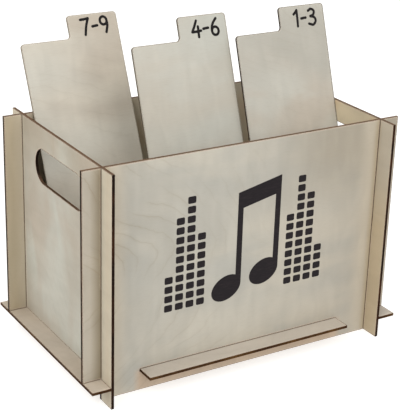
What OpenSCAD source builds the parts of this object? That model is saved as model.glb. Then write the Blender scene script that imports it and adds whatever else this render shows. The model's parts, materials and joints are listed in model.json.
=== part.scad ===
// Storage stand of laser-cut plywood that slots together without glue: two long walls, two end
// panels and a raised floor, with three tabbed index dividers leaning inside.
// X runs to the right along the front wall, Y to the back and Z up. The origin is on the ground,
// below the middle of the whole stand.

/* [Plywood] */
// Thickness of the walls, the end panels and the floor
ply = 3; // [2.5:0.1:5]
// Thickness of the dividers
divider_ply = 2; // [1.6:0.1:4]
// Clearance on each side of a panel in its slot
slot_gap = 0.1; // [0.05:0.05:0.3]

/* [Box] */
// Clear width between the end panels
bay_w = 330; // [322:1:400]
// Clear depth between the long walls
bay_d = 180; // [160:1:260]
// Height of the walls and the end panels
wall_h = 250; // [220:1:280]
// How far the long walls run past the end panels
wall_ear = 21; // [12:1:40]
// How far the end panels run past the long walls
end_ear = 22; // [12:1:40]
// Height of the floor's underside above the ground
floor_z = 21; // [12:1:40]
// Height at which the half slots of the walls and the end panels meet
slot_z = 125; // [80:1:160]
// Width of each wall's leg, between the floor's ledge and the end panel's outer face
leg_w = 44; // [20:1:70]

/* [Handle holes] */
// Length of the hole in each end panel
handle_w = 116; // [80:1:140]
// Height of the hole, which is also the diameter of its round ends
handle_h = 38; // [28:1:50]
// Height of the grip left above the hole
grip_h = 24; // [15:1:40]

/* [Dividers] */
// Width of a divider
divider_w = 117.5; // [100:0.5:125]
// Height of a divider below its tab
divider_h = 320; // [260:1:340]
// Width of the tab at the right of a divider's top
tab_w = 59.5; // [30:0.5:70]
// Height of the tab
tab_h = 25; // [15:1:40]
// Radius of a divider's corners
corner_r = 4; // [1:0.5:7]

/* [Where the dividers stand] */
// Space between the front wall and the front divider's foot
front_foot_gap = 2.7; // [2:0.1:10]
// Space between the front wall and the middle divider's foot
middle_foot_gap = 10.5; // [8:0.1:30]
// Distance from the back wall to the rear divider's bottom back edge
rear_run = 102; // [70:1:120]
// Angle that the front divider leans back
front_lean_angle = 18.6; // [5:0.1:24]
// Angle that the middle divider leans back
middle_lean_angle = 19.9; // [5:0.1:22]
// Space between the front divider and the right end panel
right_gap = 0.4; // [0.3:0.1:10]
// Space from the middle divider's right edge to the front divider's left edge
between_gap = 0.6; // [0.5:0.1:10]
// Space between the rear divider and the left end panel
left_gap = 9; // [1:0.1:20]
// Clearance where a divider rests on the floor or on the back wall
rest_gap = 0.2; // [0.1:0.05:0.4]

/* [Hidden] */
$fn = 64;
cut = 1;

floor_top = floor_z + ply;
leg_half = bay_w / 2 + ply;
ledge_half = leg_half - leg_w;
wall_half = leg_half + wall_ear;
end_half = bay_d / 2 + ply + end_ear;
slot_w = ply + 2 * slot_gap;

front_x = bay_w / 2 - right_gap - divider_w;
middle_x = front_x - between_gap - divider_w;
rear_x = left_gap - bay_w / 2;
front_y = front_foot_gap + divider_ply - bay_d / 2;
middle_y = middle_foot_gap + divider_ply - bay_d / 2;
rear_y = bay_d / 2 - rear_run;
foot_z = floor_top + rest_gap;

// The rear divider leans until its back face meets the back wall's upper inner edge.
rear_rise = wall_h - foot_z;
rear_lean_angle = acos(rest_gap / norm([rear_run, rear_rise])) - atan2(rear_rise, rear_run);
rear_top_y = rear_y + (divider_h + tab_h) * sin(rear_lean_angle);
origin_y = (max(rear_top_y, end_half) - end_half) / 2;

// Puts a piece drawn about the box's own middle over the stand's origin.
module placed() {
    translate([0, -origin_y, 0]) children();
}

// Stands a flat outline up along X, with its back face on Y = 0.
module upright(thickness) {
    rotate([90, 0, 0]) linear_extrude(thickness) children();
}

module rounded_rect(size, r) {
    translate([r, 0]) square([size[0] - 2 * r, size[1]]);
    translate([0, r]) square([size[0], size[1] - 2 * r]);
    for (x = [r, size[0] - r], y = [r, size[1] - r]) translate([x, y]) circle(r);
}

// Long wall, seen from the front: ears that sit on the floor's ends, legs that reach the
// ground, a mortise for the floor's ledge and two half slots that are open at the top.
module wall_outline() {
    difference() {
        union() {
            translate([-wall_half, floor_top]) square([2 * wall_half, wall_h - floor_top]);
            translate([-leg_half, 0]) square([2 * leg_half, slot_z]);
        }
        translate([-ledge_half - slot_gap, floor_z])
            square([2 * (ledge_half + slot_gap), ply + slot_gap]);
        for (side = [-1, 1])
            translate([side * (bay_w + ply) / 2 - slot_w / 2, slot_z])
                square([slot_w, wall_h - slot_z + cut]);
    }
}

module long_wall() {
    color("#cdc4af") upright(ply) wall_outline();
}

module front_wall() {
    placed() translate([0, -bay_d / 2, 0]) long_wall();
}

module back_wall() {
    placed() translate([0, bay_d / 2 + ply, 0]) long_wall();
}

module handle_hole() {
    reach = (handle_w - handle_h) / 2;
    translate([0, wall_h - grip_h - handle_h / 2]) {
        square([2 * reach, handle_h], center = true);
        for (side = [-1, 1]) translate([side * reach, 0]) circle(d = handle_h);
    }
}

// End panel, seen from its side: half slots that are open at the bottom, a foot beyond each,
// and a middle whose lower edge stands on the floor.
module end_outline() {
    difference() {
        translate([-end_half, 0]) square([2 * end_half, wall_h]);
        translate([-bay_d / 2, -cut]) square([bay_d, floor_top + cut]);
        for (side = [-1, 1])
            translate([side * (bay_d + ply) / 2 - slot_w / 2, -cut])
                square([slot_w, slot_z + slot_gap + cut]);
        handle_hole();
    }
}

// One end panel, with its left face on X = 0.
module end_panel() {
    color("#c8bfa8") rotate([0, 0, 90]) upright(ply) end_outline();
}

module left_end_panel() {
    placed() translate([-leg_half, 0, 0]) end_panel();
}

module right_end_panel() {
    placed() translate([bay_w / 2, 0, 0]) end_panel();
}

// The floor's ledges pass through the walls' mortises. Its four notches let the walls' legs
// and the end panels' feet down to the ground, and its ends carry the walls' ears.
module floor_panel() {
    notch = [leg_w + slot_gap, end_ear + ply + slot_gap + cut];
    placed() color("#c4bba3") translate([0, 0, floor_z]) linear_extrude(ply) difference() {
        square([2 * wall_half, 2 * end_half], center = true);
        for (x = [ledge_half, -ledge_half - notch[0]], y = [bay_d / 2 - slot_gap, -end_half - cut])
            translate([x, y]) square(notch);
    }
}

module divider_outline() {
    inner_x = divider_w - tab_w;
    rounded_rect([divider_w, divider_h], corner_r);
    translate([inner_x, divider_h - tab_h]) rounded_rect([tab_w, 2 * tab_h], corner_r);
    difference() {
        translate([inner_x - corner_r, divider_h - corner_r])
            square([2 * corner_r, 2 * corner_r]);
        translate([inner_x - corner_r, divider_h + corner_r]) circle(corner_r);
    }
}

// A divider tilts about its bottom back edge, which is the line that stands on the floor.
module divider(x, y, lean) {
    placed() color("#d2cab8") translate([x, y, foot_z]) rotate([-lean, 0, 0])
        upright(divider_ply) divider_outline();
}

module front_divider() {
    divider(front_x, front_y, front_lean_angle);
}

module middle_divider() {
    divider(middle_x, middle_y, middle_lean_angle);
}

module rear_divider() {
    divider(rear_x, rear_y, rear_lean_angle);
}

front_wall();
back_wall();
left_end_panel();
right_end_panel();
floor_panel();
front_divider();
middle_divider();
rear_divider();
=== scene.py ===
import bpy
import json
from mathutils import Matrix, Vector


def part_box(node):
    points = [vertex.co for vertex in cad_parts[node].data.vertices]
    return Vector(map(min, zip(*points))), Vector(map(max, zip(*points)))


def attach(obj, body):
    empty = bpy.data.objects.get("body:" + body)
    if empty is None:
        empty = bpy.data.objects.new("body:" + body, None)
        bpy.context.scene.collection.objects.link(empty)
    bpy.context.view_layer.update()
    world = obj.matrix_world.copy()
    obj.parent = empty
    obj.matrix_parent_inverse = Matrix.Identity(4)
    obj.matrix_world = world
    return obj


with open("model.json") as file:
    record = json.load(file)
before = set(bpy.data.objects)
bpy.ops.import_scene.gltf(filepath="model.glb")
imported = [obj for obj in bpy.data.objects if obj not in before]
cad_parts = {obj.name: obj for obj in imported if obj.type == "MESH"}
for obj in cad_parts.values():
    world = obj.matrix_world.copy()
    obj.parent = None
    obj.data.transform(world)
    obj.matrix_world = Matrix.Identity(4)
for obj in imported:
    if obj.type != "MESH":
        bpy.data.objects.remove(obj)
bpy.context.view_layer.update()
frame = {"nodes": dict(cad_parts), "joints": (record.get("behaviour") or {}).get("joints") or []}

import json
import math

import bmesh
import bpy
from mathutils import Matrix, Vector

# The camera looks down on the stand's front left corner from about 1.5 m away, with a long lens and no shift.
# Its place and turn were worked out from the corners of the built panels in the photograph.
CAMERA_PLACE = Vector((-0.686309, -1.118089, 0.671477))
CAMERA_LOOK = Vector((0.487781, 0.789792, -0.371886)).normalized()
CAMERA_RIGHT = Vector((0.856389, -0.515552, 0.028374)).normalized()
FOCAL_PIXELS, FRAME_PIXELS, SENSOR_MM = 1291.09, 410, 36.0
CLIP_END = 20.0

camera_data = bpy.data.cameras.new("camera")
camera_data.sensor_width = SENSOR_MM
camera_data.lens = FOCAL_PIXELS / FRAME_PIXELS * SENSOR_MM
camera_data.clip_end = CLIP_END
camera = bpy.data.objects.new("camera", camera_data)
bpy.context.scene.collection.objects.link(camera)
camera_up = CAMERA_RIGHT.cross(CAMERA_LOOK).normalized()
camera_right = CAMERA_LOOK.cross(camera_up).normalized()
camera_turn = Matrix((camera_right, camera_up, -CAMERA_LOOK)).transposed().to_4x4()
camera.matrix_world = Matrix.Translation(CAMERA_PLACE) @ camera_turn
bpy.context.scene.camera = camera


# Front and back walls: two sheets of 3 mm birch plywood, cut by a laser, standing 180 mm apart.
# Half-depth slots at both ends cross the end panels' slots, so they stand without glue or screws.
# The veneer is left raw; the laser burns every cut edge dark brown and scorches a thin margin on the faces.
MM = 0.001


def from_hex(text):
    """A colour written as sRGB hex, as the linear values of the sRGB standard that the shader reads."""
    values = [int(text[i:i + 2], 16) / 255 for i in (1, 3, 5)]
    return tuple(v / 12.92 if v <= 0.04045 else ((v + 0.055) / 1.055) ** 2.4 for v in values) + (1.0,)


def add(tree, kind, inputs={}, **settings):
    """One node with its settings. An input is a plain value, or a node or socket that is linked to it."""
    node = tree.nodes.new(kind)
    for key, value in settings.items():
        setattr(node, key, value)
    for key, value in inputs.items():
        if isinstance(key, int):
            socket = node.inputs[key]
        else:
            socket = next(s for s in node.inputs if s.name == key and s.enabled)
        if isinstance(value, bpy.types.Node):
            value = next(s for s in value.outputs if s.enabled)
        if isinstance(value, bpy.types.NodeSocket):
            tree.links.new(value, socket)
        else:
            socket.default_value = value
    return node


def empty_tree(owner):
    """The node tree of a new material or world, emptied."""
    owner.use_nodes = True
    owner.node_tree.nodes.clear()
    return owner.node_tree


def per(size):
    """The scale that gives a noise patches of a size: along the grain, across it and into the sheet."""
    return tuple(1 / side for side in size)


def laser_cut_birch_ply(
        name, turn, middle, pale, warm, grey, slots=None, ears=("#C6BAA4", "#BDAD90"), char="#150700",
        ember="#40230F", up_edge_sheen="#705742", pale_margin_and_highlight="#DCC9B4", seed=0.0, clouds=None, figure=1.0, heart=0.25,
        calm=(0.0, 1.0), drift=("#FFFFFF", 0.0, 1.0), mortise=None, inside=None, colour_patches=()):
    """Raw rotary-cut birch veneer with laser-cut edges.
    turn lays the sheet's grain along X and its thickness along Z; middle brings its middle plane to 0.
    pale, warm and grey are the veneer's clouds. A cut edge is char with patches of ember, and up_edge_sheen
    where it looks up, a painted sheen and light from above; pale_margin_and_highlight is the margin beside
    it, partly a painted highlight.
    slots are the axis, middle and half distance of a pair of slots, whose sides get a dark line of soot and
    painted seam shade. Past them the ears take the two colours of ears, partly a smoke tan and partly painted
    shade and light
    about the corners: beside the slot, and from 14 mm on.
    inside is the veneer's two colours before a slot, painted shade warmed by light bounced off the end panel:
    10 mm off, and close.
    mortise is the half length of the floor's mortise; the strip below it is painted lighter and warmer, as
    painted light under the ledge and a smoke tan.
    seed and clouds set where in the noise the rings and the two kinds of clouds are taken from.
    figure is the strength of the growth rings, which arch about the line heart and fade along the grain
    between the two places that calm gives. drift is a tint that comes along the grain, and the two places
    between which it comes. faded holds patches of another colour: that colour, its strength, an axis with
    the two places between which it comes, and the two heights between which it comes."""
    material = bpy.data.materials.new(name)
    tree = empty_tree(material)
    turn = [math.radians(angle) for angle in turn]
    where = add(tree, "ShaderNodeTexCoord")
    raw = add(tree, "ShaderNodeSeparateXYZ", {0: where.outputs["Object"]})
    laid = add(tree, "ShaderNodeMapping",
               {"Vector": where.outputs["Object"], "Location": middle, "Rotation": turn})
    along = add(tree, "ShaderNodeSeparateXYZ", {0: laid})

    # Cloudy colour of the peeled log: pinker patches 110 mm long and 50 mm wide, and larger grey ones, which
    # are greyer among the growth rings.
    pink_size, grey_size = (110 * MM, 50 * MM, 9 * MM), (160 * MM, 85 * MM, 8 * MM)
    grey_start, grey_by_rings = (7.3, 2.1), 0.20
    pink_seed, grey_seed = clouds or (seed, seed)
    at = add(tree, "ShaderNodeMapping",
             {"Vector": laid, "Scale": per(pink_size), "Location": (pink_seed, 0, pink_seed)})
    pinker = add(tree, "ShaderNodeTexNoise",
                 {"Vector": at, "Scale": 1.0, "Detail": 2.5, "Roughness": 0.55, "Distortion": 0.4})
    pinker = add(tree, "ShaderNodeMapRange", {"Value": pinker, "From Min": 0.36, "From Max": 0.64},
                 interpolation_type="SMOOTHSTEP")
    at = add(tree, "ShaderNodeMapping", {"Vector": laid, "Scale": per(grey_size),
                                         "Location": (grey_start[0] + grey_seed, grey_start[1], 0)})
    greyer = add(tree, "ShaderNodeTexNoise", {"Vector": at, "Scale": 1.0, "Detail": 1.5, "Roughness": 0.5})
    ringed = add(tree, "ShaderNodeMapRange", {"Value": along.outputs["X"], "From Min": calm[0],
                                              "From Max": calm[1], "To Min": 1.0, "To Max": 0.0})
    greyer = add(tree, "ShaderNodeMath", {0: ringed, 1: grey_by_rings, 2: greyer}, operation="MULTIPLY_ADD")
    greyer = add(tree, "ShaderNodeMapRange", {"Value": greyer, "From Min": 0.47, "From Max": 0.80},
                 interpolation_type="SMOOTHSTEP")
    tone = add(tree, "ShaderNodeMix", {"Factor": pinker, "A": from_hex(pale), "B": from_hex(warm)},
               data_type="RGBA")
    tone = add(tree, "ShaderNodeMix", {"Factor": greyer, "A": tone, "B": from_hex(grey)}, data_type="RGBA")

    # A tint comes in along the grain towards one end of the sheet.
    tint, tint_start, tint_full = drift
    tinted = add(tree, "ShaderNodeMapRange",
                 {"Value": along.outputs["X"], "From Min": tint_start, "From Max": tint_full})
    tone = add(tree, "ShaderNodeMix", {"Factor": tinted, "A": tone, "B": from_hex(tint)},
               data_type="RGBA", blend_type="MULTIPLY")

    # Past the slots the ears take their own colours, partly a smoke tan and partly painted shade and bounced
    # light about the corners. Places are given as distances past the slot's middle.
    if slots is not None:
        slot_axis, between_slots, half_distance = slots
        ear_near, ear_far = 1.5 * MM, 14 * MM
        ear_smoke_and_shade_start, ear_smoke_and_shade_full, ear_smoke_and_shade_strength = -7 * MM if inside is None else -2 * MM, 2 * MM, 0.85
        past = add(tree, "ShaderNodeMath", {0: raw.outputs[slot_axis], 1: between_slots},
                   operation="SUBTRACT")
        past = add(tree, "ShaderNodeMath", {0: past}, operation="ABSOLUTE")
        past = add(tree, "ShaderNodeMath", {0: past, 1: half_distance}, operation="SUBTRACT")
        outward = add(tree, "ShaderNodeMapRange", {"Value": past, "From Min": ear_near, "From Max": ear_far})
        ear_smoke_and_shade = add(tree, "ShaderNodeMix",
                     {"Factor": outward, "A": from_hex(ears[0]), "B": from_hex(ears[1])}, data_type="RGBA")
        ear_smoke_and_shade_amount = add(tree, "ShaderNodeMapRange",
                  {"Value": past, "From Min": ear_smoke_and_shade_start, "From Max": ear_smoke_and_shade_full, "To Max": ear_smoke_and_shade_strength})
        tone = add(tree, "ShaderNodeMix", {"Factor": ear_smoke_and_shade_amount, "A": tone, "B": ear_smoke_and_shade}, data_type="RGBA")

    # Some places take another colour, which comes in between two places along an axis and between two
    # heights.
    for colour, strength, (axis, start, full), (low, high) in colour_patches:
        beside = add(tree, "ShaderNodeMapRange", {"Value": raw.outputs[axis], "From Min": start,
                                                  "From Max": full, "To Max": strength})
        above = add(tree, "ShaderNodeMapRange",
                    {"Value": raw.outputs["Z"], "From Min": low, "From Max": high})
        spot = add(tree, "ShaderNodeMath", {0: beside, 1: above}, operation="MULTIPLY")
        tone = add(tree, "ShaderNodeMix", {"Factor": spot, "A": tone, "B": from_hex(colour)},
                   data_type="RGBA")

    # In front of a slot the veneer is painted darker and warmer, as painted shade and light bounced off the
    # end panel's ear, which comes between 32 and 10 mm before it.
    if inside is not None:
        corner_shade_start, corner_shade_full, corner_shade_strength = -32 * MM, -10 * MM, 0.85
        corner_start, corner_full = -9 * MM, -2 * MM
        closer = add(tree, "ShaderNodeMapRange",
                     {"Value": past, "From Min": corner_start, "From Max": corner_full})
        corner_shade_tones = add(tree, "ShaderNodeMix",
                     {"Factor": closer, "A": from_hex(inside[0]), "B": from_hex(inside[1])}, data_type="RGBA")
        kept = add(tree, "ShaderNodeMapRange",
                   {"Value": past, "From Min": corner_shade_start, "From Max": corner_shade_full, "To Max": corner_shade_strength},
                   interpolation_type="SMOOTHSTEP")
        before = add(tree, "ShaderNodeMath", {0: past, 1: 0.0}, operation="LESS_THAN")
        kept = add(tree, "ShaderNodeMath", {0: kept, 1: before}, operation="MULTIPLY")
        tone = add(tree, "ShaderNodeMix", {"Factor": kept, "A": tone, "B": corner_shade_tones}, data_type="RGBA")

    # The strip below the floor's mortise is painted lighter and warmer: painted light where the ledge shades
    # it, and a smoke tan.
    if mortise is not None:
        strip_light_and_tan, strip_strength = "#CCB196", 0.70
        strip_full, strip_end, strip_past = 20 * MM, 26 * MM, 8 * MM
        across = add(tree, "ShaderNodeMath", {0: raw.outputs["X"]}, operation="ABSOLUTE")
        within = add(tree, "ShaderNodeMapRange",
                     {"Value": across, "From Min": mortise, "From Max": mortise + strip_past,
                      "To Min": 1.0, "To Max": 0.0})
        strip = add(tree, "ShaderNodeMapRange",
                    {"Value": raw.outputs["Z"], "From Min": strip_full, "From Max": strip_end,
                     "To Min": strip_strength, "To Max": 0.0})
        strip = add(tree, "ShaderNodeMath", {0: strip, 1: within}, operation="MULTIPLY")
        tone = add(tree, "ShaderNodeMix", {"Factor": strip, "A": tone, "B": from_hex(strip_light_and_tan)},
                   data_type="RGBA")

    # Growth rings of the peeled log: thin tan lines 16 mm apart that arch along the grain with a ragged hand.
    # Slow bends shift them by up to 140 mm and ripples by up to 12 mm, and they show in patches.
    ring_pitch, ring_tan, ring_strength = 16 * MM, "#8F8068", 0.42
    arch_slope, arch_tip = 0.75, 24.5 * MM
    bend_size, bend_reach, bend_start = (150 * MM, 110 * MM, 10 * MM), 140 * MM, (3.7 * seed, 1.3, seed)
    ripple_size, ripple_reach = (24 * MM, 16 * MM, 10 * MM), 12 * MM
    shown_size, shown_start = (70 * MM, 45 * MM, 10 * MM), (0, 5.0 + seed, 0)
    line_profile = ((0.0, 1.0), (0.07, 0.20), (0.30, 0.0), (0.80, 0.10), (0.96, 0.35), (1.0, 1.0))
    at = add(tree, "ShaderNodeMapping", {"Vector": laid, "Scale": per(bend_size), "Location": bend_start})
    bends = add(tree, "ShaderNodeTexNoise", {"Vector": at, "Scale": 1.0, "Detail": 1.0, "Roughness": 0.4})
    at = add(tree, "ShaderNodeMapping", {"Vector": laid, "Scale": per(ripple_size)})
    ripple = add(tree, "ShaderNodeTexNoise", {"Vector": at, "Scale": 1.0, "Detail": 3.0, "Roughness": 0.55})
    aside = add(tree, "ShaderNodeMath", {0: along.outputs["Y"], 1: heart}, operation="SUBTRACT")
    aside = add(tree, "ShaderNodeMath", {0: aside, 1: aside}, operation="MULTIPLY")
    aside = add(tree, "ShaderNodeMath", {0: aside, 1: arch_tip ** 2}, operation="ADD")
    aside = add(tree, "ShaderNodeMath", {0: aside}, operation="SQRT")
    arch = add(tree, "ShaderNodeMath", {0: along.outputs["X"], 1: arch_slope, 2: aside},
               operation="MULTIPLY_ADD")
    arch = add(tree, "ShaderNodeMath", {0: bends, 1: bend_reach, 2: arch}, operation="MULTIPLY_ADD")
    arch = add(tree, "ShaderNodeMath", {0: ripple, 1: ripple_reach, 2: arch}, operation="MULTIPLY_ADD")
    ring = add(tree, "ShaderNodeMath", {0: arch, 1: ring_pitch}, operation="DIVIDE")
    ring = add(tree, "ShaderNodeMath", {0: ring}, operation="FRACT")
    line = add(tree, "ShaderNodeValToRGB", {0: ring})
    stops = line.color_ramp.elements
    for count, (place, level) in enumerate(line_profile):
        stop = stops[count] if count < 2 else stops.new(place)
        stop.position, stop.color = place, (level, level, level, 1)
    at = add(tree, "ShaderNodeMapping", {"Vector": laid, "Scale": per(shown_size), "Location": shown_start})
    shown = add(tree, "ShaderNodeTexNoise", {"Vector": at, "Scale": 1.0, "Detail": 1.0})
    shown = add(tree, "ShaderNodeMapRange",
                {"Value": shown, "From Min": 0.38, "From Max": 0.62, "To Max": ring_strength * figure})
    shown = add(tree, "ShaderNodeMath", {0: shown, 1: ringed}, operation="MULTIPLY")
    # Between the lines the wood darkens and pales again in soft bands, one for every three rings.
    band = add(tree, "ShaderNodeMath", {0: arch, 1: 2 * math.pi / (3 * ring_pitch)}, operation="MULTIPLY")
    band = add(tree, "ShaderNodeMath", {0: band}, operation="SINE")
    band = add(tree, "ShaderNodeMath", {0: band, 1: shown}, operation="MULTIPLY")
    band = add(tree, "ShaderNodeMapRange",
               {"Value": band, "From Min": -0.4, "From Max": 0.4, "To Min": 0.95, "To Max": 1.04})
    tone = add(tree, "ShaderNodeMix", {"Factor": 1.0, "A": tone, "B": band}, data_type="RGBA",
               blend_type="MULTIPLY")
    rings = add(tree, "ShaderNodeMath", {0: line, 1: shown}, operation="MULTIPLY")
    tone = add(tree, "ShaderNodeMix", {"Factor": rings, "A": tone, "B": from_hex(ring_tan)}, data_type="RGBA")

    # Pores are 0.1 mm wide and 2 mm long, too fine to show, so they are drawn 0.8 mm wide and 9 mm long.
    pore_size, pore_brown, pore_strength = (9 * MM, 0.8 * MM, 0.8 * MM), "#9A8A72", 0.13
    at = add(tree, "ShaderNodeMapping", {"Vector": laid, "Scale": per(pore_size)})
    pores = add(tree, "ShaderNodeTexNoise", {"Vector": at, "Scale": 1.0, "Detail": 2.0, "Roughness": 0.6})
    open_pores = add(tree, "ShaderNodeMapRange",
                     {"Value": pores, "From Min": 0.50, "From Max": 0.80, "To Max": pore_strength})
    tone = add(tree, "ShaderNodeMix", {"Factor": open_pores, "A": tone, "B": from_hex(pore_brown)},
               data_type="RGBA")

    # Faint curl: silky bars across the grain, 14 mm wide.
    curl_size, curl_dark, curl_bright = (14 * MM, 50 * MM, 10 * MM), 0.965, 1.03
    at = add(tree, "ShaderNodeMapping", {"Vector": laid, "Scale": per(curl_size)})
    curl = add(tree, "ShaderNodeTexNoise", {"Vector": at, "Scale": 1.0, "Detail": 1.0, "Distortion": 0.6})
    curl = add(tree, "ShaderNodeMapRange", {"Value": curl, "From Min": 0.35, "From Max": 0.70,
                                            "To Min": curl_dark, "To Max": curl_bright})
    tone = add(tree, "ShaderNodeMix", {"Factor": 1.0, "A": tone, "B": curl}, data_type="RGBA",
               blend_type="MULTIPLY")

    # Beside a slot a dark line is drawn: soot of the cut, and painted shade in the seam where the panels
    # meet.
    if slots is not None:
        seam_soot_and_shade, seam_line_strength, seam_line_full, seam_line_end = "#4A3826", 0.75, 1.9 * MM, 2.6 * MM
        from_slot = add(tree, "ShaderNodeMath", {0: past}, operation="ABSOLUTE")
        seam_line = add(tree, "ShaderNodeMapRange",
                    {"Value": from_slot, "From Min": seam_line_full, "From Max": seam_line_end,
                     "To Min": seam_line_strength, "To Max": 0.0})
        tone = add(tree, "ShaderNodeMix", {"Factor": seam_line, "A": tone, "B": from_hex(seam_soot_and_shade)},
                   data_type="RGBA")

    # The laser's heat leaves 0.5 mm of soot beside a cut, then a pale margin about 1.5 mm wide, partly dried
    # veneer and partly a painted highlight along the edge. Both lie where a normal that is rounded over the
    # cut leaves the face's own.
    heat_reach, margin_strength, soot_strength = 4 * MM, 0.75, 0.88
    soot_brown = char if slots is None else "#3A2212"
    rounded = add(tree, "ShaderNodeBevel", {"Radius": heat_reach}, samples=8)
    face = add(tree, "ShaderNodeNewGeometry")
    bend = add(tree, "ShaderNodeVectorMath", {0: rounded, 1: face.outputs["Normal"]}, operation="DOT_PRODUCT")
    near = add(tree, "ShaderNodeMath", {0: 1.0, 1: bend.outputs["Value"]}, operation="SUBTRACT")
    margin = add(tree, "ShaderNodeMapRange",
                 {"Value": near, "From Min": 0.015, "From Max": 0.13, "To Max": margin_strength})
    soot = add(tree, "ShaderNodeMapRange",
               {"Value": near, "From Min": 0.155, "From Max": 0.195, "To Max": soot_strength})
    tone = add(tree, "ShaderNodeMix", {"Factor": margin, "A": tone, "B": from_hex(pale_margin_and_highlight)}, data_type="RGBA")
    tone = add(tree, "ShaderNodeMix", {"Factor": soot, "A": tone, "B": from_hex(soot_brown)},
               data_type="RGBA")

    # Burnt edge: charred brown, browner in patches 35 mm long, with the beam's streaks across the thickness
    # (0.3 mm apart in life, drawn 1 mm apart) and the darker glue lines of the three plies.
    ember_size, streak_size = 35 * MM, (1 * MM, 1 * MM, 25 / 3 * MM)
    glue_brown, glue_strength = "#160B05", 0.55
    glue_depth, glue_full, glue_end = 0.5 * MM, 0.05 * MM, 0.22 * MM
    browner = add(tree, "ShaderNodeTexNoise",
                  {"Vector": laid, "Scale": 1 / ember_size, "Detail": 2.0, "Roughness": 0.6})
    browner = add(tree, "ShaderNodeMapRange", {"Value": browner, "From Min": 0.45, "From Max": 0.75})
    burnt = add(tree, "ShaderNodeMix", {"Factor": browner, "A": from_hex(char), "B": from_hex(ember)},
                data_type="RGBA")
    at = add(tree, "ShaderNodeMapping", {"Vector": laid, "Scale": per(streak_size)})
    streaks = add(tree, "ShaderNodeTexNoise", {"Vector": at, "Scale": 1.0, "Detail": 1.0})
    streaked = add(tree, "ShaderNodeMapRange",
                   {"Value": streaks, "From Min": 0.3, "From Max": 0.7, "To Min": 0.75, "To Max": 1.2})
    burnt = add(tree, "ShaderNodeMix", {"Factor": 1.0, "A": burnt, "B": streaked}, data_type="RGBA",
                blend_type="MULTIPLY")
    depth = add(tree, "ShaderNodeMath", {0: along.outputs["Z"]}, operation="ABSOLUTE")
    glue = add(tree, "ShaderNodeMath", {0: depth, 1: glue_depth}, operation="SUBTRACT")
    glue = add(tree, "ShaderNodeMath", {0: glue}, operation="ABSOLUTE")
    glue = add(tree, "ShaderNodeMapRange", {"Value": glue, "From Min": glue_full, "From Max": glue_end,
                                            "To Min": glue_strength, "To Max": 0.0})
    burnt = add(tree, "ShaderNodeMix", {"Factor": glue, "A": burnt, "B": from_hex(glue_brown)},
                data_type="RGBA")

    # The edges that look up are painted lighter, here more and there less, most at the top: a painted sheen
    # of the sky and painted light from above.
    sheen_least, sheen_most, sheen_low_down = 0.66, 0.92, 0.45
    sheen_rises, sheen_full = 200 * MM, 240 * MM
    facing = add(tree, "ShaderNodeSeparateXYZ", {0: where.outputs["Normal"]})
    upward = add(tree, "ShaderNodeMapRange", {"Value": facing.outputs["Z"], "From Min": 0.5, "From Max": 0.9})
    worn = add(tree, "ShaderNodeMapRange", {"Value": browner, "To Min": sheen_least, "To Max": sheen_most})
    high_up = add(tree, "ShaderNodeMapRange", {"Value": raw.outputs["Z"], "From Min": sheen_rises,
                                               "From Max": sheen_full, "To Min": sheen_low_down, "To Max": 1.0})
    worn = add(tree, "ShaderNodeMath", {0: worn, 1: high_up}, operation="MULTIPLY")
    worn = add(tree, "ShaderNodeMath", {0: worn, 1: upward}, operation="MULTIPLY")
    burnt = add(tree, "ShaderNodeMix", {"Factor": worn, "A": burnt, "B": from_hex(up_edge_sheen)}, data_type="RGBA")

    # A face looks along the thickness, an edge doesn't. The veneer is silky and the char is dull.
    char_roughness, relief_height, relief_strength = 0.85, 0.10 * MM, 0.25
    way = add(tree, "ShaderNodeMapping", {"Vector": where.outputs["Normal"], "Rotation": turn},
              vector_type="VECTOR")
    way = add(tree, "ShaderNodeSeparateXYZ", {0: way})
    way = add(tree, "ShaderNodeMath", {0: way.outputs["Z"]}, operation="ABSOLUTE")
    is_edge = add(tree, "ShaderNodeMath", {0: way, 1: 0.5}, operation="LESS_THAN")
    colour = add(tree, "ShaderNodeMix", {"Factor": is_edge, "A": tone, "B": burnt}, data_type="RGBA")
    sheen = add(tree, "ShaderNodeMapRange",
                {"Value": pores, "From Min": 0.3, "From Max": 0.7, "To Min": 0.52, "To Max": 0.68})
    roughness = add(tree, "ShaderNodeMix", {"Factor": is_edge, "A": sheen, "B": char_roughness},
                    data_type="FLOAT")
    relief = add(tree, "ShaderNodeMix", {"Factor": is_edge, "A": pores, "B": streaks}, data_type="FLOAT")
    bump = add(tree, "ShaderNodeBump",
               {"Height": relief, "Strength": relief_strength, "Distance": relief_height})
    wood = add(tree, "ShaderNodeBsdfPrincipled", {"Base Color": colour, "Roughness": roughness,
                                                  "Normal": bump, "IOR": 1.5, "Specular IOR Level": 0.12})
    add(tree, "ShaderNodeOutputMaterial", {"Surface": wood})
    return material


def finish_node(node, material):
    """Gives a CAD node's own slots the finished material."""
    for slot in frame["nodes"][node].material_slots:
        slot.material = material


def sheet_middle(node, axis):
    """Where a flat sheet's middle plane is along an axis."""
    low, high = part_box(node)
    return (low[axis] + high[axis]) / 2


WALL_TURN = (-90, 0, 0)
WALL_SLOTS = ("X", 0.0, 166.5 * MM)
MORTISE = 124 * MM
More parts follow.
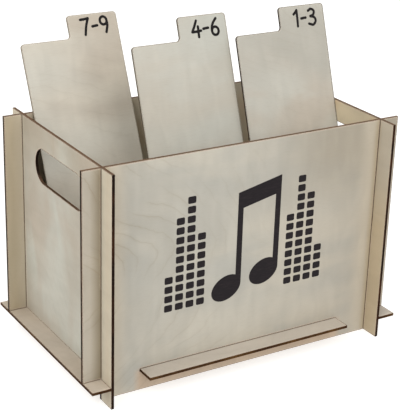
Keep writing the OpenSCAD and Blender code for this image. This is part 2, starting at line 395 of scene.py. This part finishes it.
# The front wall's ears are darkest beside the slots: painted shade of the end panels' ears, with a smoke
# stain.
finish_node("front_wall", laser_cut_birch_ply(
    "raw_birch_ply_front_wall", turn=WALL_TURN, middle=(0.31, 0.12, sheet_middle("front_wall", 1)),
    pale="#B3B0A6", warm="#C1BBAD", grey="#B4B0A5", slots=WALL_SLOTS, ears=("#8E8067", "#B7AE9F"),
    inside=("#C2B8A6", "#BBAB8E"), mortise=MORTISE, seed=15.5, clouds=(42, 35), calm=(0.14, 0.36),
    drift=("#F2EEEA", 0.29, 0.475), colour_patches=[("#A69D8D", 0.90, ("X", 0.03, 0.10), (0.160, 0.220))]))
finish_node("back_wall", laser_cut_birch_ply(
    "raw_birch_ply_back_wall", turn=WALL_TURN, middle=(1.13, 0.47, sheet_middle("back_wall", 1)),
    pale="#C4BBA8", warm="#C0B199", grey="#B9B09E", slots=WALL_SLOTS, ears=("#C1B6A1", "#B4A68C"),
    mortise=MORTISE, seed=2.0, heart=0.55))


# End panels: the same plywood, with upright grain, a hand hole cut through and ears past both walls.
# They are slotted from the other side than the walls, and drop over them to lock the corners.
END_TURN = (0, 90, 0)
END_SLOTS = ("Y", sheet_middle("left_end_panel", 1), 91.5 * MM)
ANY_HEIGHT = (-10 * MM, 0.0)
finish_node("left_end_panel", laser_cut_birch_ply(
    "raw_birch_ply_left_end", turn=END_TURN, middle=(0.22, 0.61, sheet_middle("left_end_panel", 0)),
    pale="#B1A798", warm="#B9B7AB", grey="#ACA495", slots=END_SLOTS, ears=("#CDC7B4", "#C5B9A3"),
    seed=4.0, clouds=(36, 13), figure=0.35, heart=0.66, drift=("#F7F3EE", 0.415, 0.47)))
# The right end's inner face has a warmer, yellower palette than its outer face, which a patch greys: partly
# painted warm light bounced inside the box. The top of its front ear is greyed by painted shade.
finish_node("right_end_panel", laser_cut_birch_ply(
    "raw_birch_ply_right_end", turn=END_TURN, middle=(0.83, 0.29, sheet_middle("right_end_panel", 0)),
    pale="#CCBEA2", warm="#C6B08E", grey="#BFB198", slots=END_SLOTS, ears=("#B4A58B", "#BAAA8F"),
    seed=5.0, figure=0.6, heart=0.22, colour_patches=[("#AEA698", 0.75, ("Y", -0.095, -0.105), (0.13, 0.20)),
                                             ("#C0B7A7", 0.75, ("X", 0.166, 0.167), ANY_HEIGHT)]))


# Floor: one plywood sheet. Its ledges at the front and back pass through mortises in the walls, its notches
# let the walls' legs and the end panels' feet down to the ground, and its ends stand out at both sides.
finish_node("floor_panel", laser_cut_birch_ply(
    "raw_birch_ply_floor", turn=(0, 0, 90), middle=(0.57, 0.18, -sheet_middle("floor_panel", 2)),
    pale="#C0B6AA", warm="#B9AD9D", grey="#B6AEA3", slots=END_SLOTS, ears=("#BDB4A8", "#BCB3A6"),
    char="#3B220C", ember="#634420", seed=7.0, heart=0.18,
    colour_patches=[("#AFA290", 0.6, ("X", -0.160, -0.170), ANY_HEIGHT)]))


# Three loose dividers: cards of 2 mm birch plywood with rounded corners and a tab at the right.
# Each stands on the floor and leans back; the thin sheet needed less heat, so its edges are only toasted.
DIVIDER_PLY = 2 * MM
FRONT_LEAN, MIDDLE_LEAN, REAR_LEAN = 18.6, 19.9, 24.2637


def tipping_edge(joint):
    """A point of the line that a divider tips on, its bottom back edge."""
    return next(j for j in frame["joints"] if j["name"] == joint)["pos_m"]


def lay_divider(joint, lean, shift):
    """The turn that lays a leaning divider flat, and the middle that brings its middle plane to 0."""
    edge, tilt, turned = tipping_edge(joint), math.radians(lean), math.radians(lean - 90)
    y = edge[1] - math.cos(tilt) * DIVIDER_PLY / 2
    z = edge[2] + math.sin(tilt) * DIVIDER_PLY / 2
    return {"turn": (lean - 90, 0, 0), "middle": (*shift, -(y * math.sin(turned) + z * math.cos(turned)))}


finish_node("front_divider", laser_cut_birch_ply(
    "raw_birch_ply_front_divider", **lay_divider("front_divider_tilt", FRONT_LEAN, (0.13, 0.92)),
    pale="#BFB6A8", warm="#C3C0B5", grey="#B2AEA3", up_edge_sheen="#B5AB9C", pale_margin_and_highlight="#CFC7B8", char="#241509",
    ember="#4E3A28", seed=9.0, clouds=(41, 61), figure=0.3))
finish_node("middle_divider", laser_cut_birch_ply(
    "raw_birch_ply_middle_divider", **lay_divider("middle_divider_tilt", MIDDLE_LEAN, (0.77, 0.35)),
    pale="#C2BFB4", warm="#C0BAAD", grey="#BCBBB1", up_edge_sheen="#B5AB9C", pale_margin_and_highlight="#CFC7B8", char="#5A5042",
    ember="#7D715F", seed=11.0, figure=0.3))
finish_node("rear_divider", laser_cut_birch_ply(
    "raw_birch_ply_rear_divider", **lay_divider("rear_divider_tilt", REAR_LEAN, (0.41, 0.56)),
    pale="#CBC2B2", warm="#BCB2A3", grey="#C7C3B7", up_edge_sheen="#B9B0A1", pale_margin_and_highlight="#D8D0C2", char="#857B6C",
    ember="#9E9381", seed=13.0, clouds=(45, 10), figure=0.4))


# Print on the front wall: black ink screen-printed on the raw veneer, a pair of joined notes between two
# level meters. The film is drawn 0.08 mm thick, and the grain shows in it as a faint change of gloss.
PRINT_MIDDLE = (0.000, 0.145)
INK_PROUD, INK_SUNK = 0.08 * MM, 0.02 * MM
HEAD_LONG, HEAD_SHORT, HEAD_TILT, HEAD_STEPS = 18.5 * MM, 13.5 * MM, math.radians(24), 96
HEADS = (Vector((-23 * MM, -52 * MM)), Vector((23 * MM, -42 * MM)))
STEM_WIDTH, BEAM_DEPTH, BEAM_TOP, BEAM_SLOPE = 6.5 * MM, 19 * MM, 52 * MM, 0.22


def black_ink(name, colour, worn):
    """Matt black ink on raw wood: nearly even, a little thin where the grain is open."""
    grain_size, relief_height, relief_strength = (9 * MM, 1.2 * MM, 1.2 * MM), 0.05 * MM, 0.15
    material = bpy.data.materials.new(name)
    tree = empty_tree(material)
    where = add(tree, "ShaderNodeTexCoord")
    at = add(tree, "ShaderNodeMapping", {"Vector": where.outputs["Object"], "Scale": per(grain_size)})
    grain = add(tree, "ShaderNodeTexNoise", {"Vector": at, "Scale": 1.0, "Detail": 2.0})
    thin = add(tree, "ShaderNodeMapRange", {"Value": grain, "From Min": 0.45, "From Max": 0.80})
    ink = add(tree, "ShaderNodeMix", {"Factor": thin, "A": from_hex(colour), "B": from_hex(worn)},
              data_type="RGBA")
    gloss = add(tree, "ShaderNodeMapRange",
                {"Value": grain, "From Min": 0.3, "From Max": 0.7, "To Min": 0.50, "To Max": 0.66})
    bump = add(tree, "ShaderNodeBump",
               {"Height": grain, "Strength": relief_strength, "Distance": relief_height})
    film = add(tree, "ShaderNodeBsdfPrincipled", {"Base Color": ink, "Roughness": gloss, "Normal": bump,
                                                  "IOR": 1.45, "Specular IOR Level": 0.15})
    add(tree, "ShaderNodeOutputMaterial", {"Surface": film})
    return material


def new_piece(name, mesh, material, body):
    """Puts a finished mesh in the scene as a piece that rides on a body."""
    if material.name not in mesh.materials:
        mesh.materials.append(material)
    piece = bpy.data.objects.new(name, mesh)
    bpy.context.scene.collection.objects.link(piece)
    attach(piece, body)


def thin_plate(outline, low, high):
    """A flat closed plate from one outline in the plane, as bmesh."""
    plate = bmesh.new()
    bottom = plate.faces.new([plate.verts.new((x, y, low)) for x, y in outline])
    raised = bmesh.ops.extrude_face_region(plate, geom=[bottom], use_keep_orig=True)
    for vert in [g for g in raised["geom"] if isinstance(g, bmesh.types.BMVert)]:
        vert.co.z = high
    bmesh.ops.recalc_face_normals(plate, faces=plate.faces)
    return plate


def head_ring(centre):
    """Points all the way round a tilted note head."""
    ring = []
    c, s = math.cos(HEAD_TILT), math.sin(HEAD_TILT)
    for k in range(HEAD_STEPS):
        angle = 2 * math.pi * k / HEAD_STEPS
        x, y = HEAD_LONG * math.cos(angle), HEAD_SHORT * math.sin(angle)
        ring.append(Vector((centre.x + x * c - y * s, centre.y + x * s + y * c)))
    return ring


def head_to_stem(ring, stem_left):
    """A head's outline from its rightmost point, on the stem's right side, round under to the left side."""
    start = max(range(HEAD_STEPS), key=lambda k: ring[k].x)
    ring = [ring[(start - k) % HEAD_STEPS] for k in range(HEAD_STEPS)]
    return [(p.x, p.y) for k, p in enumerate(ring) if not (p.x > stem_left and k > HEAD_STEPS // 2)]


def note_outline():
    """One outline round both note heads, their stems and the beam that joins them."""
    rings = [head_ring(centre) for centre in HEADS]
    first_right, second_right = (max(p.x for p in ring) for ring in rings)
    first_left, second_left = first_right - STEM_WIDTH, second_right - STEM_WIDTH
    beam_tops = {x: BEAM_TOP + BEAM_SLOPE * (x - first_left)
                 for x in (first_left, first_right, second_left, second_right)}
    return [(second_right, beam_tops[second_right]), *head_to_stem(rings[1], second_left),
            (second_left, beam_tops[second_left] - BEAM_DEPTH),
            (first_right, beam_tops[first_right] - BEAM_DEPTH), *head_to_stem(rings[0], first_left),
            (first_left, beam_tops[first_left])]


print_ink = black_ink("screen_printed_black_ink", "#1A1518", "#292325")
wall_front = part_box("front_wall")[0].y
print_place = Matrix.Translation((PRINT_MIDDLE[0], wall_front, PRINT_MIDDLE[1]))
to_wall = print_place @ Matrix.Rotation(math.radians(90), 4, "X")
notes = thin_plate(note_outline(), -INK_SUNK, INK_PROUD)
notes.transform(to_wall)
notes_mesh = bpy.data.meshes.new("front_print_notes")
notes.to_mesh(notes_mesh)
notes.free()
new_piece("front_print_notes", notes_mesh, print_ink, "stand")

# The level meters are blocks of ink in columns on one base line, and each column's height follows a wave.
METER_INPUTS = {
    "Columns": ("NodeSocketInt", 8), "Rows": ("NodeSocketInt", 12),
    "Column Pitch": ("NodeSocketFloat", 12.6 * MM), "Row Pitch": ("NodeSocketFloat", 10.4 * MM),
    "Middle Gap": ("NodeSocketFloat", 96 * MM), "Block Width": ("NodeSocketFloat", 9.4 * MM),
    "Block Height": ("NodeSocketFloat", 7.6 * MM), "Corner Radius": ("NodeSocketFloat", 1.6 * MM),
    "Fewest": ("NodeSocketFloat", 4.0), "Wave": ("NodeSocketFloat", 8.0),
    "Wave Step": ("NodeSocketFloat", 0.9), "Base": ("NodeSocketFloat", -60 * MM),
    "Ink": ("NodeSocketMaterial", print_ink),
}
CORNER_POINTS, SAME_POINT, LEVEL_MARGIN = 4, 0.001 * MM, 0.4
meter = bpy.data.node_groups.new("level_meter_blocks", "GeometryNodeTree")
sockets = {name: meter.interface.new_socket(name, in_out="INPUT", socket_type=kind)
           for name, (kind, _) in METER_INPUTS.items()}
meter.interface.new_socket("Geometry", in_out="OUTPUT", socket_type="NodeSocketGeometry")
given = add(meter, "NodeGroupInput").outputs
gaps = add(meter, "ShaderNodeMath", {0: given["Columns"], 1: 1.0}, operation="SUBTRACT")
across = add(meter, "ShaderNodeMath", {0: gaps, 1: given["Column Pitch"]}, operation="MULTIPLY")
rises = add(meter, "ShaderNodeMath", {0: given["Rows"], 1: 1.0}, operation="SUBTRACT")
upward = add(meter, "ShaderNodeMath", {0: rises, 1: given["Row Pitch"]}, operation="MULTIPLY")
grid = add(meter, "GeometryNodeMeshGrid", {"Size X": across, "Size Y": upward,
                                           "Vertices X": given["Columns"], "Vertices Y": given["Rows"]})
spot = add(meter, "ShaderNodeSeparateXYZ", {0: add(meter, "GeometryNodeInputPosition")})
column = add(meter, "ShaderNodeMath", {0: spot.outputs["X"], 1: given["Column Pitch"]}, operation="DIVIDE")
half_rise = add(meter, "ShaderNodeMath", {0: upward, 1: 0.5}, operation="MULTIPLY")
height = add(meter, "ShaderNodeMath", {0: spot.outputs["Y"], 1: half_rise}, operation="ADD")
row = add(meter, "ShaderNodeMath", {0: height, 1: given["Row Pitch"]}, operation="DIVIDE")
wave = add(meter, "ShaderNodeMath", {0: column, 1: given["Wave Step"]}, operation="MULTIPLY")
wave = add(meter, "ShaderNodeMath", {0: wave}, operation="SINE")
wave = add(meter, "ShaderNodeMath", {0: wave}, operation="ABSOLUTE")
level = add(meter, "ShaderNodeMath", {0: wave, 1: given["Wave"], 2: given["Fewest"]},
            operation="MULTIPLY_ADD")
level = add(meter, "ShaderNodeMath", {0: level, 1: LEVEL_MARGIN}, operation="SUBTRACT")
too_high = add(meter, "FunctionNodeCompare", {0: row, 1: level}, operation="GREATER_THAN")
kept = add(meter, "GeometryNodeDeleteGeometry", {"Geometry": grid, "Selection": too_high}, domain="POINT")
side = add(meter, "ShaderNodeMath", {0: spot.outputs["X"]}, operation="SIGN")
aside = add(meter, "ShaderNodeMath", {0: side, 1: given["Middle Gap"]}, operation="MULTIPLY")
aside = add(meter, "ShaderNodeMath", {0: aside, 1: 0.5}, operation="MULTIPLY")
lift = add(meter, "ShaderNodeMath", {0: half_rise, 1: given["Base"]}, operation="ADD")
offset = add(meter, "ShaderNodeCombineXYZ", {"X": aside, "Y": lift})
spread = add(meter, "GeometryNodeSetPosition", {"Geometry": kept, "Offset": offset})
block = add(meter, "GeometryNodeCurvePrimitiveQuadrilateral",
            {"Width": given["Block Width"], "Height": given["Block Height"]})
block = add(meter, "GeometryNodeFilletCurve",
            {"Curve": block, "Radius": given["Corner Radius"], "Count": CORNER_POINTS}, mode="POLY")
sheet = add(meter, "GeometryNodeFillCurve", {"Curve": block}, mode="NGONS")
raised = add(meter, "GeometryNodeExtrudeMesh",
             {"Mesh": sheet, "Offset Scale": INK_PROUD + INK_SUNK, "Individual": False}, mode="FACES")
under = add(meter, "GeometryNodeFlipFaces", {"Mesh": sheet})
solid = add(meter, "GeometryNodeJoinGeometry")
meter.links.new(under.outputs[0], solid.inputs[0])
meter.links.new(raised.outputs[0], solid.inputs[0])
solid = add(meter, "GeometryNodeMergeByDistance", {"Geometry": solid, "Distance": SAME_POINT})
blocks = add(meter, "GeometryNodeInstanceOnPoints", {"Points": spread, "Instance": solid})
blocks = add(meter, "GeometryNodeRealizeInstances", {"Geometry": blocks})
blocks = add(meter, "GeometryNodeSetMaterial", {"Geometry": blocks, "Material": given["Ink"]})
add(meter, "NodeGroupOutput", {"Geometry": blocks})

maker = bpy.data.objects.new("meter_maker", bpy.data.meshes.new("meter_maker"))
bpy.context.scene.collection.objects.link(maker)
blocks_modifier = maker.modifiers.new("level_meter_blocks", "NODES")
blocks_modifier.node_group = meter
for name, (_, value) in METER_INPUTS.items():
    blocks_modifier[sockets[name].identifier] = value
meter_mesh = bpy.data.meshes.new_from_object(maker.evaluated_get(bpy.context.evaluated_depsgraph_get()))
bpy.data.objects.remove(maker)
meter_mesh.transform(Matrix.Translation((0, 0, -INK_SUNK)))
meter_mesh.transform(to_wall)
new_piece("front_print_levels", meter_mesh, print_ink, "stand")


# Numbers on the dividers' tabs: lettered by hand with a broad black pen, 17.5 mm high, in strokes 2.9 mm
# wide. The pen's ends are round, and the ink sits on the veneer as a thin film.
NUMBER_HEIGHT, PEN, LETTER_GAP = 17.5 * MM, 2.9 * MM, 3.5 * MM
PATH_STEPS, CAP_STEPS, BOWL_STEPS = 8, 8, 40
# A character is its width and its strokes, in parts of the number's height. A stroke is a list of points, or
# for a bowl the middle and half sizes of a ring.
STROKES = {
    "1": (0.36, [[(0.02, 0.76), (0.14, 0.86), (0.27, 1.0)], [(0.27, 1.0), (0.27, 0.5), (0.25, 0.0)]]),
    "3": (0.54, [[(0.04, 0.90), (0.24, 1.0), (0.46, 0.88), (0.40, 0.64), (0.17, 0.55)],
                 [(0.17, 0.55), (0.45, 0.47), (0.54, 0.24), (0.34, 0.01), (0.02, 0.09)]]),
    "4": (0.60, [[(0.36, 1.0), (0.20, 0.68), (0.00, 0.34)], [(0.00, 0.34), (0.30, 0.34), (0.62, 0.37)],
                 [(0.44, 0.64), (0.43, 0.32), (0.42, 0.0)]]),
    "6": (0.54, [[(0.42, 1.0), (0.20, 0.76), (0.07, 0.50), (0.05, 0.27)], ((0.28, 0.25), (0.23, 0.25))]),
    "7": (0.54, [[(0.00, 0.96), (0.26, 0.97), (0.53, 1.0)], [(0.53, 1.0), (0.32, 0.52), (0.17, 0.0)]]),
    "9": (0.54, [((0.27, 0.74), (0.23, 0.25)), [(0.50, 0.76), (0.49, 0.42), (0.34, 0.0)]]),
    "-": (0.34, [[(0.00, 0.46), (0.17, 0.48), (0.34, 0.49)]]),
}


def smooth_path(points):
    """Points along a smooth curve through the given ones."""
    ends = [2 * points[0] - points[1]] + points + [2 * points[-1] - points[-2]]
    path = []
    for a, b, c, d in zip(ends, ends[1:], ends[2:], ends[3:]):
        for k in range(PATH_STEPS):
            t = k / PATH_STEPS
            path.append(0.5 * (2 * b + (c - a) * t + (2 * a - 5 * b + 4 * c - d) * t ** 2
                               + (3 * b - a - 3 * c + d) * t ** 3))
    return path + [points[-1]]


def pen_outline(path, half):
    """The closed outline that a round pen leaves along a path."""
    last = len(path) - 1
    ways = [(path[min(k + 1, last)] - path[max(k - 1, 0)]).normalized() for k in range(last + 1)]
    left = [p + half * Vector((-w.y, w.x)) for p, w in zip(path, ways)]
    right = [p - half * Vector((-w.y, w.x)) for p, w in zip(path, ways)]
    caps = []
    for middle, way in ((path[-1], ways[-1]), (path[0], -ways[0])):
        first = math.atan2(way.y, way.x) + math.pi / 2
        angles = [first - math.pi * k / CAP_STEPS for k in range(1, CAP_STEPS)]
        caps.append([middle + half * Vector((math.cos(angle), math.sin(angle))) for angle in angles])
    return [tuple(p) for p in left + caps[0] + right[::-1] + caps[1]]


def ring_plate(middle, sizes, half, low, high):
    """A flat closed ring, as bmesh."""
    plate = bmesh.new()
    angles = [2 * math.pi * k / BOWL_STEPS for k in range(BOWL_STEPS)]
    loops = []
    for z in (low, high):
        for grow in (half, -half):
            loops.append([plate.verts.new((middle.x + (sizes.x + grow) * math.cos(angle),
                                           middle.y + (sizes.y + grow) * math.sin(angle), z))
                          for angle in angles])
    for a, b in ((0, 1), (1, 3), (3, 2), (2, 0)):
        for k in range(BOWL_STEPS):
            n = (k + 1) % BOWL_STEPS
            plate.faces.new((loops[a][k], loops[a][n], loops[b][n], loops[b][k]))
    bmesh.ops.recalc_face_normals(plate, faces=plate.faces)
    return plate


def stroke_plates(text):
    """A thin plate for every stroke of a text, with the middle of its base line at 0."""
    widths = [STROKES[character][0] * NUMBER_HEIGHT for character in text]
    start = -(sum(widths) + LETTER_GAP * (len(text) - 1)) / 2
    plates = []
    for character, width in zip(text, widths):
        for stroke in STROKES[character][1]:
            if isinstance(stroke, tuple):
                middle, sizes = (Vector(p) * NUMBER_HEIGHT for p in stroke)
                plates.append(ring_plate(middle + Vector((start, 0)), sizes, PEN / 2, -INK_SUNK, INK_PROUD))
            else:
                path = smooth_path([Vector(p) * NUMBER_HEIGHT + Vector((start, 0)) for p in stroke])
                plates.append(thin_plate(pen_outline(path, PEN / 2), -INK_SUNK, INK_PROUD))
        start += width + LETTER_GAP
    return plates


def joined(plates):
    """The union of crossing plates, as one clean mesh."""
    objects = []
    for plate in plates:
        mesh = bpy.data.meshes.new("stroke")
        plate.to_mesh(mesh)
        plate.free()
        objects.append(bpy.data.objects.new("stroke", mesh))
        bpy.context.scene.collection.objects.link(objects[-1])
    others = bpy.data.collections.new("strokes")
    for other in objects[1:]:
        others.objects.link(other)
    union = objects[0].modifiers.new("union", "BOOLEAN")
    union.operation, union.solver = "UNION", "EXACT"
    union.operand_type, union.collection = "COLLECTION", others
    mesh = bpy.data.meshes.new_from_object(objects[0].evaluated_get(bpy.context.evaluated_depsgraph_get()))
    for stroke in objects:
        bpy.data.objects.remove(stroke)
    bpy.data.collections.remove(others)
    return mesh


def letter_tab(name, text, node, joint, lean, body, tilt, spot):
    """Writes a number range on a divider's tab. lean and tilt are in degrees. spot is the middle of its base
    line in mm: from the divider's left edge, and up from its foot."""
    mesh = joined(stroke_plates(text))
    edge, lean = tipping_edge(joint), math.radians(lean)
    right = Vector((1, 0, 0))
    up = Vector((0, math.sin(lean), math.cos(lean)))
    out = Vector((0, -math.cos(lean), math.sin(lean)))
    corner = Vector((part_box(node)[0].x, edge[1], edge[2])) + out * DIVIDER_PLY
    place = Matrix((right, up, out)).transposed().to_4x4()
    place.translation = corner + right * spot[0] * MM + up * spot[1] * MM
    mesh.transform(place @ Matrix.Rotation(math.radians(tilt), 4, "Z"))
    mesh.materials.clear()
    new_piece(name, mesh, pen_ink, body)


pen_ink = black_ink("black_pen_ink", "#151212", "#262323")
letter_tab("front_tab_number", "1-3", "front_divider", "front_divider_tilt", FRONT_LEAN, "front_board",
           tilt=-0.8, spot=(91.2, 322.2))
letter_tab("middle_tab_number", "4-6", "middle_divider", "middle_divider_tilt", MIDDLE_LEAN, "middle_board",
           tilt=0.6, spot=(91.0, 322))
letter_tab("rear_tab_number", "7-9", "rear_divider", "rear_divider_tilt", REAR_LEAN, "rear_board",
           tilt=1.2, spot=(89.9, 322.7))


# Plain white studio: a matt floor that keeps a soft shadow, a white sky, and three soft boxes. Two are high,
# at the front and the left, and leave no hard shadow of the ears; a weaker one is behind. The floor also
# lights the stand evenly from below, as a light table does, which neither the camera nor a mirror sees.
FLOOR_HALF = 4.0
SKY_STRENGTH, BACKDROP_STRENGTH, FLOOR_LIGHT, FLOOR_GLOW = 0.75, 1.0, 0.70, 0.57
LAMP_AIM = Vector((0, 0, 0.15))


def what_is_seen(tree):
    """1 for a ray from the camera, from a mirror or through glass, and 0 for one that lights a surface."""
    rays = add(tree, "ShaderNodeLightPath").outputs
    seen = add(tree, "ShaderNodeMath", {0: rays["Is Camera Ray"], 1: rays["Is Glossy Ray"]},
               operation="MAXIMUM")
    return add(tree, "ShaderNodeMath", {0: seen, 1: rays["Is Transmission Ray"]}, operation="MAXIMUM")


floor_mesh = bpy.data.meshes.new("studio_floor")
floor_mesh.from_pydata([(x * FLOOR_HALF, y * FLOOR_HALF, 0) for x, y in ((-1, -1), (1, -1), (1, 1), (-1, 1))],
                       [], [(0, 1, 2, 3)])
studio_floor = bpy.data.objects.new("studio_floor", floor_mesh)
bpy.context.scene.collection.objects.link(studio_floor)
floor_paint = bpy.data.materials.new("matt_white_floor_paint")
tree = empty_tree(floor_paint)
matt = add(tree, "ShaderNodeBsdfDiffuse", {"Color": from_hex("#6C6C6B")})
light = add(tree, "ShaderNodeEmission", {"Color": from_hex("#FBFAF9"), "Strength": FLOOR_LIGHT})
table = add(tree, "ShaderNodeAddShader", {0: matt, 1: light})
paint = add(tree, "ShaderNodeBsdfDiffuse", {"Color": from_hex("#CFCECC")})
glow = add(tree, "ShaderNodeEmission", {"Color": from_hex("#FFFFFF"), "Strength": FLOOR_GLOW})
painted = add(tree, "ShaderNodeAddShader", {0: paint, 1: glow})
ground = add(tree, "ShaderNodeMixShader", {0: what_is_seen(tree), 1: table, 2: painted})
add(tree, "ShaderNodeOutputMaterial", {"Surface": ground})
floor_mesh.materials.append(floor_paint)

world = bpy.data.worlds.new("white_studio")
bpy.context.scene.world = world
tree = empty_tree(world)
sky = add(tree, "ShaderNodeBackground", {"Color": from_hex("#FFFFFF"), "Strength": SKY_STRENGTH})
backdrop = add(tree, "ShaderNodeBackground", {"Color": from_hex("#FFFFFF"), "Strength": BACKDROP_STRENGTH})
around = add(tree, "ShaderNodeMixShader", {0: what_is_seen(tree), 1: sky, 2: backdrop})
add(tree, "ShaderNodeOutputWorld", {"Surface": around})


def soft_lamp(name, place, size, power):
    """A square soft box that faces the stand. size is in metres and power in watts."""
    data = bpy.data.lights.new(name, "AREA")
    data.shape, data.size, data.energy = "SQUARE", size, power
    lamp = bpy.data.objects.new(name, data)
    bpy.context.scene.collection.objects.link(lamp)
    lamp.location = place
    lamp.rotation_euler = (LAMP_AIM - Vector(place)).to_track_quat("-Z", "Y").to_euler()


soft_lamp("front_soft_box", place=(0.15, -2.4, 2.0), size=2.2, power=31)
soft_lamp("left_soft_box", place=(-1.9, -0.4, 2.0), size=2.0, power=37)
soft_lamp("back_soft_box", place=(2.1, 2.6, 1.7), size=2.2, power=22)

bpy.context.scene.view_settings.view_transform = "Standard"
